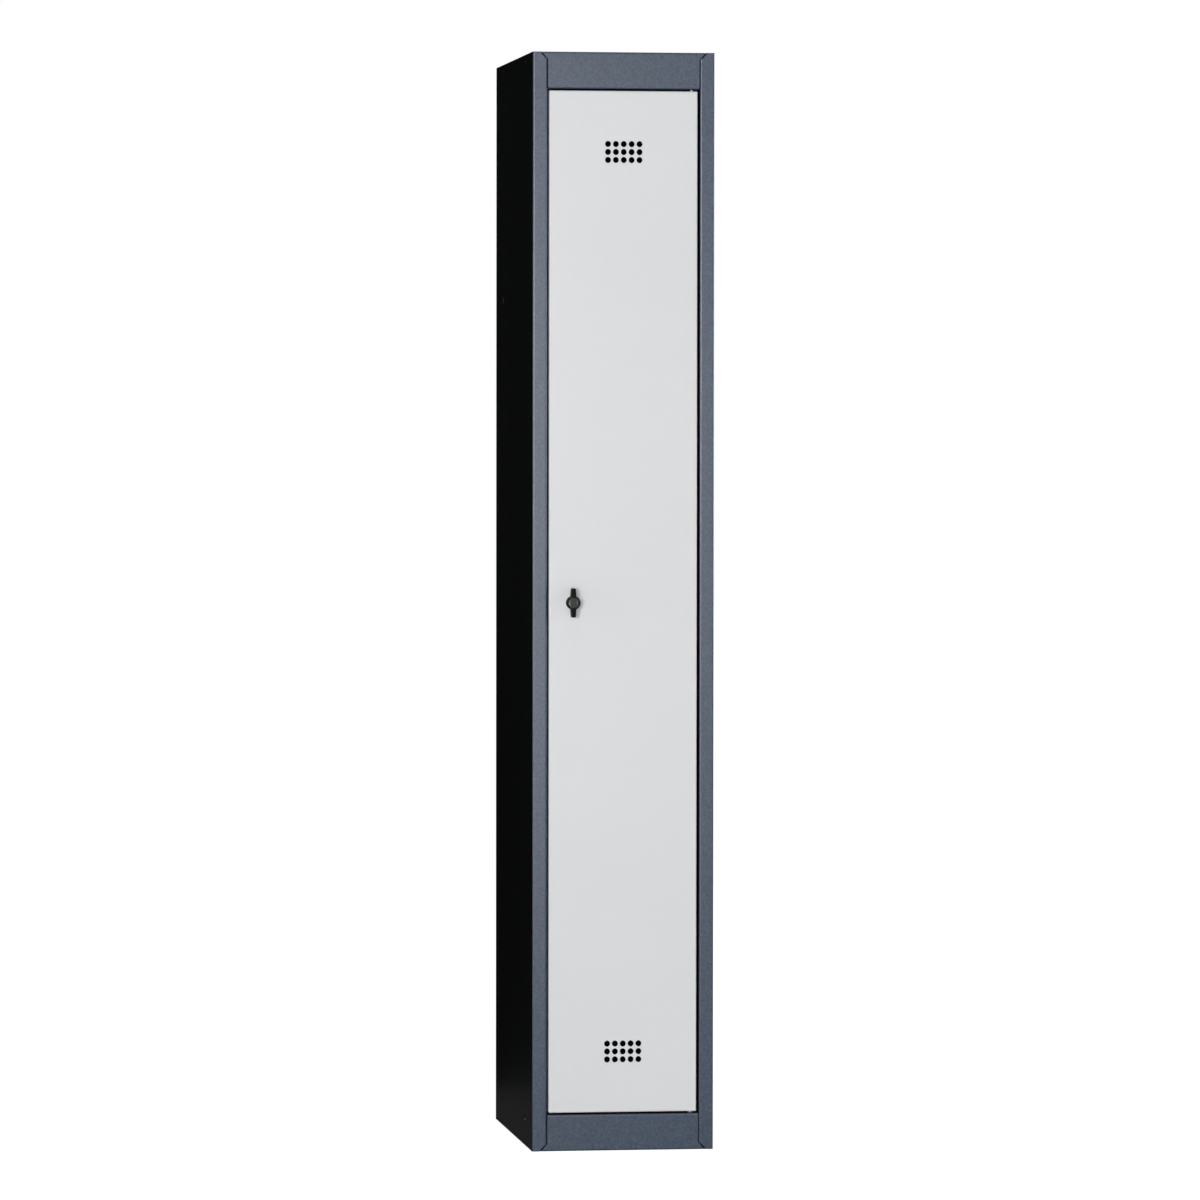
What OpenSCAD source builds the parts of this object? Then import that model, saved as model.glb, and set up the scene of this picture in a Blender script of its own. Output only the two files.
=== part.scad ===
// A tall single-door steel locker: folded front frame, sheet carcass, hung door, turn latch,
// hat shelf and a coat rail with sliding hooks.
// X runs to the right, Y to the back and Z up. The origin is on the floor, at the middle of the
// whole object's footprint, knob included.

/* [Carcass] */
// Width across the carcass
body_w = 300; // [260:1:400]
// Depth from the front frame's face to the back
body_d = 500; // [420:1:600]
// Height
body_h = 1800; // [1600:1:2000]
// Thickness of the carcass sheets
carcass_t = 1; // [0.7:0.1:1.2]
// Inside radius of the carcass folds
carcass_bend_r = 1; // [0.6:0.1:2]
// Width of the flange that each side turns in at the back
rear_flange = 15; // [10:0.5:25]
// Width of the flange that each side turns in at the floor
foot_flange = 11.5; // [8:0.5:20]
// Depth of the flanges under the top panel
top_flange = 25; // [22:0.5:30]
// Depth of the flanges under the floor panel, which end above the joining holes
floor_flange = 9; // [7:0.5:9]

/* [Front frame] */
// Thickness of the front frame's sheet
frame_t = 1.2; // [1:0.1:1.5]
// Inside radius of the front frame's folds
frame_bend_r = 1.8; // [1:0.1:2.5]
// Width of a stile's face
stile_w = 24; // [20:0.5:32]
// How far the front frame reaches back from its face
frame_depth = 24; // [23.5:0.5:30]
// How far a stile wraps round onto the side
stile_wrap = 26; // [25:0.5:30]
// Width of the lip that the door closes against
stop_lip = 10; // [8:0.5:12]
// Height of the top rail's face
top_rail_h = 60; // [40:1:90]
// Height of the bottom rail's face
bottom_rail_h = 60; // [60:1:90]
// Side of the corner that is cut off each stile end, where the rail's face fills in
corner_cut = 12.5; // [6:0.5:16]

/* [Door] */
// Thickness of the door sheet
door_t = 1; // [0.7:0.1:1.2]
// Depth of the folded door
door_depth = 18; // [16:0.5:18]
// Inside radius of the door's folds
door_bend_r = 2; // [1:0.1:2.5]
// Radius of the door's corners, seen from the front
door_corner_r = 3; // [2:0.5:6]
// Width of the hem along the door's back edges
door_hem = 10; // [6:0.5:12]
// Gap between the door and the frame on the lock side
lock_side_gap = 3; // [2:0.5:5]
// Gap between the door and the frame on the pivot side
pivot_side_gap = 4; // [4:0.5:6]
// Gap above and below the door
end_gap = 3; // [3:0.5:5]
// Width of the stiffener's hat section
stiffener_w = 40; // [25:1:50]
// Width of each stiffener flange
stiffener_flange = 15; // [10:1:20]
// Depth of the stiffener
stiffener_depth = 14; // [8:0.5:14]
// Distance from the door's ends to the stiffener
stiffener_inset = 167; // [150:1:250]

/* [Vents] */
// Diameter of a vent hole
vent_d = 10; // [6:0.1:11]
// Distance between neighbouring vent holes
vent_pitch = 13; // [12:0.1:16]
// Vent holes in a row
vent_columns = 5; // [3:1:9]
// Rows in a group of vent holes
vent_rows = 3; // [2:1:5]
// Distance from the door's top to the middle of the upper group
upper_vent_inset = 100; // [60:1:130]
// Distance from the door's foot to the middle of the lower group
lower_vent_inset = 100; // [60:1:130]

/* [Pivots] */
// Distance from the door's edge to the pivot axis
pivot_inset = 9; // [8.5:0.5:10]
// Distance from the door's face to the pivot axis
pivot_setback = 8; // [8:0.5:9]
// Diameter of a pivot pin
pivot_pin_d = 6; // [4:0.5:7]
// Diameter of a pivot bush
pivot_bush_d = 9; // [8:0.5:10]
// Diameter of a pivot bush's rim
pivot_rim_d = 12; // [11:0.5:12.5]
// Thickness of a pivot bush's rim
pivot_rim_t = 1; // [0.8:0.1:1.5]
// How far a pivot pin passes the door's end
pivot_pin_reach = 10; // [7:0.5:14]
// Width of the block that holds a pivot pin
pivot_block_w = 18; // [16:1:24]
// Height of the block that holds a pivot pin
pivot_block_h = 18; // [12:1:30]
// Depth of the block that holds a pivot pin
pivot_block_depth = 13; // [12:0.5:14]

/* [Latch] */
// Height of the latch axis above the floor
latch_z = 900; // [600:0.5:1200]
// Distance from the door's lock-side edge to the latch axis
latch_inset = 39; // [33:0.5:45]
// How far the knob stands out from the door's face
knob_stand = 18; // [16:0.5:24]
// Outer diameter of the knob's ring
knob_ring_d = 22.4; // [20:0.1:26]
// Inner diameter of the knob's ring
knob_well_d = 16.4; // [14:0.1:18]
// Overall length of the knob across its two wings
knob_length = 47.4; // [38:0.1:60]
// Width of a wing where it leaves the ring
wing_root_w = 8.6; // [7:0.1:10]
// Width of a wing at its tip
wing_tip_w = 6.4; // [4:0.1:7]
// Width of the block across the knob's well
bridge_w = 10.9; // [9:0.1:12]
// Diameter of the cross hole for a padlock's shackle
shackle_hole_d = 8; // [5:0.1:8]
// Diameter of the lock body's rim
lock_rim_d = 22.4; // [20:0.1:26]
// Diameter of the lock body's barrel
lock_barrel_d = 18; // [14:0.5:20]
// Diameter of the spindle
spindle_d = 8; // [6:0.5:9]
// Length of the cam from the latch axis to its tip
cam_length = 41; // [36:0.5:46]
// Width of the cam
cam_w = 14; // [12:0.5:18]
// Thickness of the cam
cam_t = 2.5; // [2:0.5:4]

/* [Shelf and coat rail] */
// Height of the hat shelf's top face
shelf_z = 1412; // [1300:1:1480]
// Depth of the shelf's flanges
shelf_flange = 20; // [16:0.5:30]
// Distance from the front to the rivets that hold the shelf
shelf_rivet_y = 400; // [300:1:410]
// Diameter of a shelf rivet's flush head
shelf_rivet_d = 12; // [8:0.5:14]
// Height of the coat rail's oval section
coat_rail_h = 30; // [24:0.5:36]
// Width of the coat rail's oval section
coat_rail_w = 15; // [12:0.5:18]
// Wall of the coat rail
coat_rail_t = 1.2; // [0.8:0.1:1.5]
// Distance from the shelf's top face down to the coat rail's axis
coat_rail_drop = 62; // [55:1:80]
// Distance from the side walls to the rail's brackets
bracket_inset = 11; // [8:0.5:16]
// Thickness of a rail bracket
bracket_t = 1.6; // [1.2:0.1:2]
// Width of a rail bracket
bracket_w = 40; // [34:1:50]
// Length of a bracket's seat under the shelf
bracket_seat = 20; // [16:0.5:26]

/* [Hooks] */
// Number of sliding hooks
hook_count = 3; // [3:1:3]
// Distance between neighbouring hooks
hook_spacing = 80; // [78:1:84]
// Width of a hook's collar along the rail
collar_w = 12; // [10:0.5:14]
// Wall of a hook's collar
collar_t = 2.5; // [2:0.1:4]
// Diameter of a hook's bar
hook_bar_d = 5; // [4:0.1:6]
// Radius of a hook's bend, at the bar's middle
hook_bend_r = 14; // [12:0.5:18]
// Straight length of a hook's stem
hook_stem = 26; // [20:0.5:34]
// Straight length of a hook's tip
hook_tip = 8; // [4:0.5:12]
// Diameter of the ball on a hook's tip
hook_ball_d = 8; // [6.5:0.1:10]

/* [Fixing holes] */
// Diameter of the holes that join neighbouring lockers
joining_hole_d = 10; // [8:0.1:11]
// Distance from the front to the first joining hole
joining_hole_y = 100; // [60:1:140]
// Distance between the front and the rear joining hole
joining_span_y = 300; // [260:1:320]
// Height of the lower joining holes
joining_hole_z = 45; // [44:0.5:45.5]
// Distance from the top down to the upper joining holes
joining_hole_drop = 11; // [11:0.5:12]
// Diameter of the holes that fix the back to a wall
wall_hole_d = 8; // [6:0.1:10]
// Distance between the two wall-fixing holes
wall_hole_span = 180; // [120:1:220]
// Distance from the top down to the wall-fixing holes
wall_hole_drop = 60; // [45:1:90]

/* [Clearances] */
// Open seam between the faces of two frame members
face_seam = 1.2; // [0.8:0.1:1.6]
// Open seam between the stop lips of two frame members, and ahead of the cam
seam_gap = 0.8; // [0.4:0.1:1.2]
// Gap between two sheets that are assembled edge to face
sheet_gap = 0.2; // [0.1:0.05:0.3]
// Radial gap round a part that turns
running_gap = 0.05; // [0.02:0.01:0.1]
// Radial gap round a fixed part in its hole
fit_gap = 0.1; // [0.05:0.05:0.2]
// Gap round the coat rail in a sliding collar
sliding_gap = 0.4; // [0.3:0.1:0.8]

/* [Hidden] */
$fn = 48;
// Overrun of a cut past the face that it opens
cut = 1;
rivet_shank_d = 5;
rivet_tail_d = 9;
rivet_tail_t = 1.2;
bracket_rivet_d = 4;
bracket_rivet_head_d = 8;
bracket_rivet_head_t = 1;
bracket_rivet_span = 22;
buffer_d = 8;
buffer_squeeze_gap = 0.5;
buffer_spacing = 1200;
pin_head_d = 9;
pin_head_t = 2;
lock_rim_t = 1.5;
lock_nut_w = 24;
lock_nut_t = 5;
washer_d = 16;
washer_t = 1;
spindle_square = 6;
spindle_front_square = 5;
spindle_grip = 1.5;
thread_d = 5;
cam_nut_w = 10;
cam_nut_t = 4;
knob_cap_t = 1;
knob_ring_drop = 3;
wing_corner_r = 1;
// How far a thing that is lapped under its neighbour reaches under it
lap = 6;

// Distances from the middle of the carcass and from the floor, which several pieces share.
front_y = -(body_d + knob_stand) / 2 + knob_stand;
half_w = body_w / 2;
wall_x = half_w - carcass_t;
opening_x = half_w - stile_w;
lip_x = opening_x - stop_lip;
lip_front_y = frame_depth - frame_t;
frame_outer_r = frame_bend_r + frame_t;
opening_top_z = body_h - top_rail_h;
door_left_x = -opening_x + lock_side_gap;
door_right_x = opening_x - pivot_side_gap;
door_w = door_right_x - door_left_x;
door_foot_z = bottom_rail_h + end_gap;
door_top_z = opening_top_z - end_gap;
door_h = door_top_z - door_foot_z;
door_outer_r = door_bend_r + door_t;
pivot_x = door_right_x - pivot_inset;
latch_x = door_left_x + latch_inset;
sheet_start_y = stile_wrap + sheet_gap;
inside_y = frame_depth + sheet_gap;
behind_lap_y = max(sheet_start_y, inside_y) + carcass_t + sheet_gap;
back_inner_y = body_d - 2 * carcass_t;
panel_x = wall_x - carcass_bend_r - sheet_gap;
coat_rail_z = shelf_z - coat_rail_drop;
coat_rail_y = (inside_y + back_inner_y) / 2;
bracket_x = wall_x - bracket_inset;
knob_base_y = -lock_rim_t - fit_gap;
bridge_front_y = -knob_stand + knob_cap_t;
knob_ring_front_y = -knob_stand + knob_ring_drop;
shackle_y = (knob_ring_front_y + knob_base_y) / 2 - fit_gap;
washer_front_y = frame_depth - fit_gap - washer_t;
barrel_end_y = washer_front_y - fit_gap;
cam_front_y = frame_depth + seam_gap;
cam_nut_front_y = cam_front_y + cam_t + fit_gap;

FRAME = [0.43, 0.46, 0.50];
CARCASS = [0.10, 0.11, 0.13];
DOOR = [0.86, 0.87, 0.88];
ZINC = [0.72, 0.73, 0.75];
STEEL = [0.60, 0.61, 0.63];
BLACK = [0.05, 0.05, 0.06];
DARK_GREY = [0.25, 0.26, 0.27];

// Shapes that repeat. Every module below works from the front frame's face, so that Y is the
// distance behind it, and from_front() moves the finished piece to its place.

module from_front() {
    translate([0, front_y, 0]) children();
}

function unit(v) = v / norm(v);

// A folded sheet seen edge on: its middle line runs through the points, with square folds
module folded_section(points, thickness, inside_r) {
    line_r = inside_r + thickness / 2;
    outside_r = inside_r + thickness;
    last = len(points) - 1;
    for (i = [0 : last - 1]) {
        along = unit(points[i + 1] - points[i]);
        start = points[i] + (i == 0 ? 0 : line_r) * along;
        end = points[i + 1] - (i == last - 1 ? 0 : line_r) * along;
        across = thickness / 2 * [-along.y, along.x];
        polygon([start - across, end - across, end + across, start + across]);
    }
    for (i = [1 : last - 1]) {
        before = unit(points[i] - points[i - 1]);
        after = unit(points[i + 1] - points[i]);
        centre = points[i] - line_r * before + line_r * after;
        intersection() {
            translate(centre) difference() {
                circle(outside_r);
                circle(inside_r);
            }
            polygon([
                centre, centre - outside_r * after,
                centre + outside_r * (before - after), centre + outside_r * before
            ]);
        }
    }
}

// Stands a section drawn in Y and Z along X, and one drawn in X and Z along Y
module along_x(x0, x1) {
    translate([x0, 0, 0]) rotate([90, 0, 90]) linear_extrude(x1 - x0) children();
}

module along_y(y0, y1) {
    translate([0, y1, 0]) rotate([90, 0, 0]) linear_extrude(y1 - y0) children();
}

module box(x, y, z) {
    translate([x[0], y[0], z[0]]) cube([x[1] - x[0], y[1] - y[0], z[1] - z[0]]);
}

module rod_x(d, x0, x1, y, z) {
    translate([x0, y, z]) rotate([0, 90, 0]) cylinder(d = d, h = x1 - x0);
}

module rod_y(d, x, y0, y1, z) {
    translate([x, y0, z]) rotate([-90, 0, 0]) cylinder(d = d, h = y1 - y0);
}

module rod_z(d, x, y, z0, z1) {
    translate([x, y, z0]) cylinder(d = d, h = z1 - z0);
}

module rounded_square(size, r) {
    translate([r, 0]) square([size.x - 2 * r, size.y]);
    translate([0, r]) square([size.x, size.y - 2 * r]);
    for (x = [r, size.x - r], y = [r, size.y - r]) translate([x, y]) circle(r);
}

// A stadium: two half circles joined by straight sides, with its long side upright
module oval(h, w) {
    square([w, h - w], center = true);
    for (side = [-1, 1]) translate([0, side * (h - w) / 2]) circle(d = w);
}

module hexagon(across_flats) {
    circle(d = across_flats / cos(30), $fn = 6);
}

// Front frame: two folded stiles run the full height, and a rail closes each end.

// The left stile: a wrap on the side, the face, the return beside the door and the stop lip
module stile() {
    face_y = frame_t / 2;
    wrap_x = -half_w + frame_t / 2;
    return_x = -opening_x - frame_t / 2;
    cut_z = body_h - corner_cut;
    inner_end = frame_t + frame_bend_r + seam_gap;
    difference() {
        linear_extrude(body_h) folded_section([
            [wrap_x, stile_wrap], [wrap_x, face_y], [return_x, face_y],
            [return_x, frame_depth - face_y], [-lip_x, frame_depth - face_y]
        ], frame_t, frame_bend_r);
        for (end = [0, 1]) translate([0, 0, end * body_h]) mirror([0, 0, end]) {
            // The face's corner, where the rail fills in
            along_y(-cut, frame_t + fit_gap) polygon([
                [-opening_x - corner_cut - cut, -cut], [-opening_x + cut, -cut],
                [-opening_x + cut, corner_cut + cut]
            ]);
            // The return and lip stop short of the rail's fold
            box([-half_w + frame_outer_r, lip_x], [frame_t, frame_depth + cut], [-cut, inner_end]);
        }
    }
}

module left_stile() {
    color(FRAME) from_front() stile();
}

module right_stile() {
    color(FRAME) from_front() mirror([1, 0, 0]) stile();
}

// A rail standing on the floor, with its flange, face, return and stop lip; the top one is turned over
module rail(face_h) {
    middle = frame_t / 2;
    half_length = opening_x - face_seam;
    wing_x = opening_x + corner_cut - face_seam * sqrt(2);
    difference() {
        along_x(-wing_x, wing_x) folded_section([
            [stile_wrap, middle], [middle, middle], [middle, face_h - middle],
            [frame_depth - middle, face_h - middle], [frame_depth - middle, face_h + stop_lip]
        ], frame_t, frame_bend_r);
        for (side = [0, 1]) mirror([side, 0, 0]) {
            // Beyond the stile's edge only the corner wing is left, with its slanted side
            along_y(-cut, frame_depth + cut) polygon([
                [half_length, wing_x - half_length], [wing_x + cut, -cut],
                [wing_x + cut, face_h + stop_lip + cut], [half_length, face_h + stop_lip + cut]
            ]);
            // The return and lip end beside the stile's lip
            box(
                [lip_x - seam_gap, wing_x], [lip_front_y - seam_gap, frame_depth + cut],
                [face_h - frame_outer_r, face_h + stop_lip + cut]
            );
        }
        rod_z(pivot_bush_d + 2 * fit_gap, pivot_x, pivot_setback, face_h - frame_t - cut, face_h + cut);
    }
}

module top_rail() {
    color(FRAME) from_front() translate([0, 0, body_h]) mirror([0, 0, 1]) rail(top_rail_h);
}

module bottom_rail() {
    color(FRAME) from_front() rail(bottom_rail_h);
}

// Carcass: folded sides, with the back, top and floor panels between them.

module joining_holes(d, x0, x1) {
    for (y = [joining_hole_y, joining_hole_y + joining_span_y]) {
        for (z = [joining_hole_z, body_h - joining_hole_drop]) rod_x(d, x0, x1, y, z);
    }
}

// The flush head widens to the wall's outer face, so its hole is a shallow cone
module shelf_rivet_head(gap) {
    translate([-half_w, shelf_rivet_y, shelf_z - shelf_flange / 2]) rotate([0, 90, 0])
        cylinder(d1 = shelf_rivet_d + 2 * gap, d2 = rivet_shank_d + 2 * gap, h = carcass_t);
}

module side_panel() {
    middle = -half_w + carcass_t / 2;
    lap_x = -half_w + frame_t;
    lap_top_z = body_h - frame_t - frame_bend_r - seam_gap;
    difference() {
        union() {
            linear_extrude(body_h) folded_section([
                [middle, sheet_start_y], [middle, body_d - carcass_t / 2],
                [-half_w + rear_flange, body_d - carcass_t / 2]
            ], carcass_t, carcass_bend_r);
            // The front edge steps in and laps behind the stile's wrap
            box(
                [lap_x, lap_x + carcass_t],
                [sheet_start_y + carcass_t - lap, sheet_start_y + carcass_t],
                [carcass_t + seam_gap, lap_top_z]
            );
            box(
                [-half_w, lap_x + carcass_t], [sheet_start_y, sheet_start_y + carcass_t],
                [0, lap_top_z]
            );
            // The foot that the locker stands on
            box(
                [-half_w, -half_w + foot_flange],
                [sheet_start_y, body_d - carcass_t - carcass_bend_r], [0, carcass_t]
            );
        }
        joining_holes(joining_hole_d, -half_w - cut, -wall_x + cut);
        shelf_rivet_head(fit_gap);
    }
}

module left_side() {
    color(CARCASS) from_front() side_panel();
}

module right_side() {
    color(CARCASS) from_front() mirror([1, 0, 0]) side_panel();
}

module back_panel() {
    color(CARCASS) from_front() difference() {
        box([-panel_x, panel_x], [back_inner_y, back_inner_y + carcass_t], [0, body_h]);
        for (side = [-1, 1]) rod_y(
            wall_hole_d, side * wall_hole_span / 2, back_inner_y - cut, back_inner_y + carcass_t + cut,
            body_h - wall_hole_drop
        );
    }
}

// A panel between the walls, with flanges that hang down at its sides, from its top face at z
module flanged_panel(z, y0, y1, flange) {
    middle = carcass_t / 2;
    along_y(y0, y1) folded_section([
        [-wall_x + middle, z - flange], [-wall_x + middle, z - middle],
        [wall_x - middle, z - middle], [wall_x - middle, z - flange]
    ], carcass_t, carcass_bend_r);
}

// A flanged panel that also has flanges at its front and back. Its front edge is narrower, to
// pass between the laps of the two sides.
module shelf_panel(z, flange) {
    front_x = panel_x - sheet_gap;
    flanged_panel(z, behind_lap_y, back_inner_y, flange);
    box([-front_x, front_x], [inside_y, behind_lap_y], [z - carcass_t, z]);
    box([-front_x, front_x], [inside_y, inside_y + carcass_t], [z - flange, z - carcass_t]);
    box([-panel_x, panel_x], [back_inner_y - carcass_t, back_inner_y], [z - flange, z - carcass_t]);
}

module top_panel() {
    start_y = sheet_start_y + carcass_t + sheet_gap;
    lap_z = body_h - frame_t - carcass_t;
    color(CARCASS) from_front() difference() {
        union() {
            flanged_panel(body_h, start_y, back_inner_y, top_flange);
            // The flange that is welded to the back
            box(
                [-panel_x, panel_x], [back_inner_y - carcass_t, back_inner_y],
                [body_h - top_flange, body_h - carcass_t]
            );
            // The front edge steps down and laps under the top rail's flange
            box([-panel_x, panel_x], [start_y - lap, start_y + carcass_t], [lap_z, lap_z + carcass_t]);
            box([-panel_x, panel_x], [start_y, start_y + carcass_t], [lap_z, body_h]);
        }
        joining_holes(joining_hole_d + 2 * cut, -half_w, half_w);
    }
}

module floor_panel() {
    color(CARCASS) from_front() shelf_panel(bottom_rail_h, floor_flange);
}

// Inside: the hat shelf, and the coat rail that hangs below it.

module bracket_rivet_places() {
    for (side = [-1, 1], across = [-1, 1]) translate([
        side * (bracket_x - bracket_seat / 2), coat_rail_y + across * bracket_rivet_span / 2, 0
    ]) children();
}

module hat_shelf() {
    color(CARCASS) from_front() difference() {
        shelf_panel(shelf_z, shelf_flange);
        rod_x(
            rivet_shank_d + 2 * fit_gap, -half_w, half_w, shelf_rivet_y, shelf_z - shelf_flange / 2
        );
        bracket_rivet_places() rod_z(
            bracket_rivet_d + 2 * fit_gap, 0, 0, shelf_z - carcass_t - cut, shelf_z + cut
        );
    }
}

module shelf_rivets() {
    rivet_z = shelf_z - shelf_flange / 2;
    flange_inner_x = -wall_x + carcass_t;
    color(ZINC) from_front() for (side = [0, 1]) mirror([side, 0, 0]) {
        shelf_rivet_head(0);
        rod_x(rivet_shank_d, -wall_x, flange_inner_x, shelf_rivet_y, rivet_z);
        rod_x(rivet_tail_d, flange_inner_x, flange_inner_x + rivet_tail_t, shelf_rivet_y, rivet_z);
    }
}

module coat_rail() {
    end_x = bracket_x + bracket_t + bracket_inset / 2;
    color(ZINC) from_front() translate([0, coat_rail_y, coat_rail_z]) along_x(-end_x, end_x) difference() {
        oval(coat_rail_h, coat_rail_w);
        oval(coat_rail_h - 2 * coat_rail_t, coat_rail_w - 2 * coat_rail_t);
    }
}

// An angle whose seat is riveted under the shelf and whose plate the rail passes through
module rail_bracket() {
    top_z = shelf_z - carcass_t;
    plate_foot_z = coat_rail_z - coat_rail_h / 2 - collar_w;
    color(STEEL) from_front() difference() {
        translate([0, coat_rail_y + bracket_w / 2, 0]) rotate([90, 0, 0]) linear_extrude(bracket_w)
            folded_section([
                [-bracket_x, plate_foot_z], [-bracket_x, top_z - bracket_t / 2],
                [-bracket_x + bracket_seat, top_z - bracket_t / 2]
            ], bracket_t, bracket_t);
        translate([0, coat_rail_y, coat_rail_z]) along_x(-bracket_x - bracket_t, -bracket_x + bracket_t)
            oval(coat_rail_h + 2 * fit_gap, coat_rail_w + 2 * fit_gap);
        bracket_rivet_places() rod_z(
            bracket_rivet_d + 2 * fit_gap, 0, 0, top_z - bracket_t - cut, top_z + cut
        );
    }
}

module left_rail_bracket() {
    rail_bracket();
}

module right_rail_bracket() {
    mirror([1, 0, 0]) rail_bracket();
}

module bracket_rivets() {
    seat_z = shelf_z - carcass_t - bracket_t;
    color(ZINC) from_front() bracket_rivet_places() {
        rod_z(bracket_rivet_d, 0, 0, seat_z, shelf_z);
        rod_z(bracket_rivet_head_d, 0, 0, seat_z - bracket_rivet_head_t, seat_z);
        rod_z(bracket_rivet_head_d, 0, 0, shelf_z, shelf_z + bracket_rivet_head_t);
    }
}

// Rubber discs on the lock side's lip, which the door's hem meets
module door_buffers() {
    color(BLACK) from_front() for (side = [-1, 1]) rod_y(
        buffer_d, -lip_x - sheet_gap - buffer_d / 2, door_depth + buffer_squeeze_gap, lip_front_y,
        latch_z + side * buffer_spacing / 2
    );
}

// Door: a folded skin with its stiffener, hung on a pin at each end.

// The door's outline as a solid, drawn in by an amount on its sides and face
module door_envelope(inset, depth) {
    size = [door_w - 2 * inset, door_h - 2 * inset];
    fold_r = door_outer_r - inset;
    translate([door_left_x + inset, inset, door_foot_z + inset]) intersection() {
        linear_extrude(size.y) rounded_square([size.x, depth + fold_r], fold_r);
        along_x(0, size.x) rounded_square([depth + fold_r, size.y], fold_r);
        along_y(0, depth) rounded_square(size, max(door_corner_r - inset, fold_r));
    }
}

module vent_group(z) {
    for (column = [0 : vent_columns - 1], row = [0 : vent_rows - 1]) rod_y(
        vent_d, (column - (vent_columns - 1) / 2) * vent_pitch, -cut, door_t + cut,
        z + (row - (vent_rows - 1) / 2) * vent_pitch
    );
}

module door_skin() {
    hem_end = door_outer_r + door_corner_r;
    color(DOOR) from_front() difference() {
        union() {
            difference() {
                door_envelope(0, door_depth);
                door_envelope(door_t, door_depth);
            }
            for (x = [door_left_x, door_right_x - door_hem]) box(
                [x, x + door_hem], [door_depth - door_t, door_depth],
                [door_foot_z + hem_end, door_top_z - hem_end]
            );
        }
        vent_group(door_top_z - upper_vent_inset);
        vent_group(door_foot_z + lower_vent_inset);
        rod_y(lock_barrel_d + 2 * fit_gap, latch_x, -cut, door_t + cut, latch_z);
        rod_z(
            pivot_pin_d + 2 * fit_gap, pivot_x, pivot_setback,
            door_foot_z - cut, door_foot_z + door_t + cut
        );
        rod_z(
            pivot_pin_d + 2 * fit_gap, pivot_x, pivot_setback,
            door_top_z - door_t - cut, door_top_z + cut
        );
    }
}

module door_stiffener() {
    middle = door_t / 2;
    foot_y = door_t + middle;
    crown_y = door_t + stiffener_depth - middle;
    half = stiffener_w / 2;
    edge = half + stiffener_flange;
    color(DOOR) from_front() translate([0, 0, door_foot_z + stiffener_inset])
        linear_extrude(door_h - 2 * stiffener_inset) folded_section([
            [-edge, foot_y], [-half, foot_y], [-half, crown_y],
            [half, crown_y], [half, foot_y], [edge, foot_y]
        ], door_t, door_t);
}

// The pivot parts are drawn for the top end. The bottom ones are the same, turned over.

module at_top_end() {
    translate([pivot_x, front_y + pivot_setback, door_top_z]) children();
}

module at_foot_end() {
    translate([pivot_x, front_y + pivot_setback, door_foot_z]) mirror([0, 0, 1]) children();
}

module pivot_bush() {
    color(BLACK) difference() {
        union() {
            rod_z(pivot_rim_d, 0, 0, end_gap - pivot_rim_t, end_gap);
            rod_z(pivot_bush_d, 0, 0, end_gap, pivot_pin_reach);
        }
        rod_z(pivot_pin_d + 2 * running_gap, 0, 0, -cut, pivot_pin_reach + cut);
    }
}

module pivot_block() {
    side_x = pivot_inset - door_outer_r;
    face_y = -pivot_setback + door_t;
    color(ZINC) difference() {
        box(
            [side_x - pivot_block_w, side_x], [face_y, face_y + pivot_block_depth],
            [-door_t - pivot_block_h, -door_t]
        );
        // The block's front corner follows the door's fold
        translate([side_x, face_y, -door_t - pivot_block_h / 2]) rotate([0, 0, 45])
            cube([door_outer_r, door_outer_r, pivot_block_h + 2 * cut], center = true);
        translate([0, face_y, -door_t]) rotate([45, 0, 0])
            cube([2 * pivot_block_w + 2 * cut, door_outer_r, door_outer_r], center = true);
        rod_z(pivot_pin_d + 2 * fit_gap, 0, 0, -door_t - pivot_block_h - cut, cut);
    }
}

module pivot_pin() {
    block_foot_z = -door_t - pivot_block_h;
    color(STEEL) {
        rod_z(pivot_pin_d, 0, 0, block_foot_z, pivot_pin_reach);
        rod_z(pin_head_d, 0, 0, block_foot_z - pin_head_t, block_foot_z);
    }
}

module top_pivot_bush() {
    at_top_end() pivot_bush();
}

module bottom_pivot_bush() {
    at_foot_end() pivot_bush();
}

module top_pivot_block() {
    at_top_end() pivot_block();
}

module bottom_pivot_block() {
    at_foot_end() pivot_block();
}

module top_pivot_pin() {
    at_top_end() pivot_pin();
}

module bottom_pivot_pin() {
    at_foot_end() pivot_pin();
}

// The washer between the door's foot and the lower bush carries the door's weight
module thrust_washer() {
    color(STEEL) at_foot_end() difference() {
        rod_z(pivot_rim_d, 0, 0, 0, end_gap - pivot_rim_t - running_gap);
        rod_z(pivot_pin_d + 2 * fit_gap, 0, 0, -cut, end_gap);
    }
}

// Latch: a lock body clamped in the door, and a winged knob that turns a cam behind the lip.

module at_latch() {
    translate([latch_x, front_y, latch_z]) children();
}

module lock_body() {
    color(ZINC) at_latch() difference() {
        union() {
            rod_y(lock_rim_d, 0, -lock_rim_t, 0, 0);
            rod_y(lock_barrel_d, 0, 0, barrel_end_y, 0);
        }
        rod_y(spindle_d + 2 * running_gap, 0, -lock_rim_t - cut, barrel_end_y + cut, 0);
    }
}

module lock_nut() {
    color(ZINC) at_latch() difference() {
        along_y(door_t, door_t + lock_nut_t) hexagon(lock_nut_w);
        rod_y(lock_barrel_d + 2 * fit_gap, 0, 0, door_t + lock_nut_t + cut, 0);
    }
}

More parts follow.
